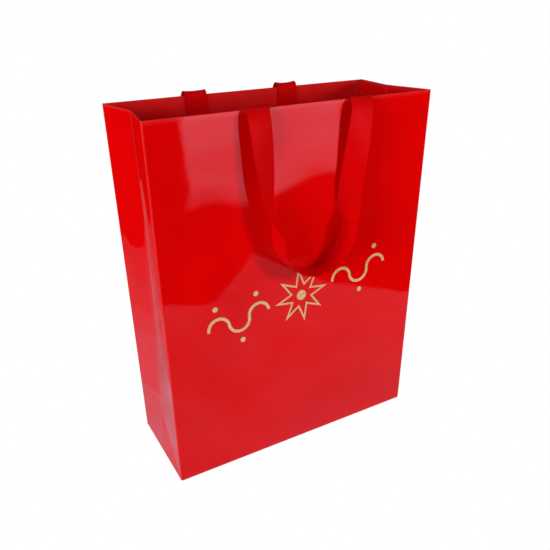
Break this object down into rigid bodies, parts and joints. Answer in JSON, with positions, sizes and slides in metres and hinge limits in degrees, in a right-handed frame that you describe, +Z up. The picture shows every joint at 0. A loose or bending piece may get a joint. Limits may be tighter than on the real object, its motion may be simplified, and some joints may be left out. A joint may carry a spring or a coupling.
{
  "type": "gift bag",
  "caption": "Upright laminated paper gift bag with folding side gussets, boarded base and mouth, two swinging satin ribbon handles and a foil ornament.",
  "frame": {"origin": "centre of the base, on the surface the bag stands on", "axes": "+Z up to the mouth, -Y towards the printed front, +X to the right seen from the front"},
  "size_m": [0.32, 0.171, 0.4008],
  "materials": {
    "laminated_paper": "high-gloss film laminate over red art paper",
    "satin_ribbon": "single-face woven satin",
    "gold_foil": "hot-stamped pale gold foil",
    "greyboard": "bare grey board"
  },
  "bodies": {
    "base": {"front_base_flap": "laminated_paper", "back_base_flap": "laminated_paper", "left_base_flap": "laminated_paper", "right_base_flap": "laminated_paper", "base_board": "greyboard"},
    "front_wall": {"front_panel": "laminated_paper", "front_hem_board": "greyboard", "front_hem_turn_in": "laminated_paper", "front_left_ribbon_tail": "satin_ribbon", "front_right_ribbon_tail": "satin_ribbon", "foil_ornament": "gold_foil"},
    "back_wall": {"back_panel": "laminated_paper", "back_hem_board": "greyboard", "back_hem_turn_in": "laminated_paper", "back_left_ribbon_tail": "satin_ribbon", "back_right_ribbon_tail": "satin_ribbon", "side_seam_flap": "laminated_paper"},
    "front_handle": {"front_ribbon_handle": "satin_ribbon"},
    "back_handle": {"back_ribbon_handle": "satin_ribbon"},
    "left_foot": {"left_foot_triangle": "laminated_paper"},
    "left_front_gusset_half": {"left_front_gusset": "laminated_paper", "left_front_gusset_turn_in": "laminated_paper"},
    "left_back_gusset_half": {"left_back_gusset": "laminated_paper", "left_back_gusset_turn_in": "laminated_paper"},
    "right_foot": {"right_foot_triangle": "laminated_paper"},
    "right_front_gusset_half": {"right_front_gusset": "laminated_paper", "right_front_gusset_turn_in": "laminated_paper"},
    "right_back_gusset_half": {"right_back_gusset": "laminated_paper", "right_back_gusset_turn_in": "laminated_paper"}
  },
  "joints": [
    {"name": "mouth_squeeze", "type": "hinge", "parent": "base", "child": "front_wall", "pos_m": [0, -0.06, 0], "axis": [-1, 0, 0], "range_deg": [0, 5]},
    {"name": "back_wall_squeeze", "type": "hinge", "parent": "base", "child": "back_wall", "pos_m": [0, 0.06, 0], "axis": [1, 0, 0], "range_deg": [0, 5]},
    {"name": "left_front_gusset_fold", "type": "hinge", "parent": "front_wall", "child": "left_front_gusset_half", "pos_m": [-0.1598, -0.0598, 0], "axis": [0, 0, -1], "range_deg": [0, 57.6]},
    {"name": "left_back_gusset_fold", "type": "hinge", "parent": "back_wall", "child": "left_back_gusset_half", "pos_m": [-0.1598, 0.0598, 0], "axis": [0, 0, 1], "range_deg": [0, 57.6]},
    {"name": "left_foot_tilt", "type": "hinge", "parent": "base", "child": "left_foot", "pos_m": [-0.16, 0, 0], "axis": [0, 1, 0], "range_deg": [0, 19.4]},
    {"name": "right_front_gusset_fold", "type": "hinge", "parent": "front_wall", "child": "right_front_gusset_half", "pos_m": [0.1598, -0.0598, 0], "axis": [0, 0, 1], "range_deg": [0, 57.6]},
    {"name": "right_back_gusset_fold", "type": "hinge", "parent": "back_wall", "child": "right_back_gusset_half", "pos_m": [0.1598, 0.0598, 0], "axis": [0, 0, -1], "range_deg": [0, 57.6]},
    {"name": "right_foot_tilt", "type": "hinge", "parent": "base", "child": "right_foot", "pos_m": [0.16, 0, 0], "axis": [0, -1, 0], "range_deg": [0, 19.4]},
    {"name": "front_handle_swing", "type": "hinge", "parent": "front_wall", "child": "front_handle", "pos_m": [0.00775, -0.0612, 0.4008], "axis": [-1, 0, 0], "range_deg": [0, 172]},
    {"name": "back_handle_swing", "type": "hinge", "parent": "back_wall", "child": "back_handle", "pos_m": [-0.00375, 0.0612, 0.4008], "axis": [1, 0, 0], "range_deg": [0, 172]}
  ],
  "couplings": [
    {"joint": "back_wall_squeeze", "follows": "mouth_squeeze", "ratio": 1},
    {"joint": "left_front_gusset_fold", "follows": "mouth_squeeze", "ratio": 11.5},
    {"joint": "left_back_gusset_fold", "follows": "mouth_squeeze", "ratio": 11.5},
    {"joint": "left_foot_tilt", "follows": "mouth_squeeze", "ratio": 3.86},
    {"joint": "right_front_gusset_fold", "follows": "mouth_squeeze", "ratio": 11.5},
    {"joint": "right_back_gusset_fold", "follows": "mouth_squeeze", "ratio": 11.5},
    {"joint": "right_foot_tilt", "follows": "mouth_squeeze", "ratio": 3.86}
  ]
}
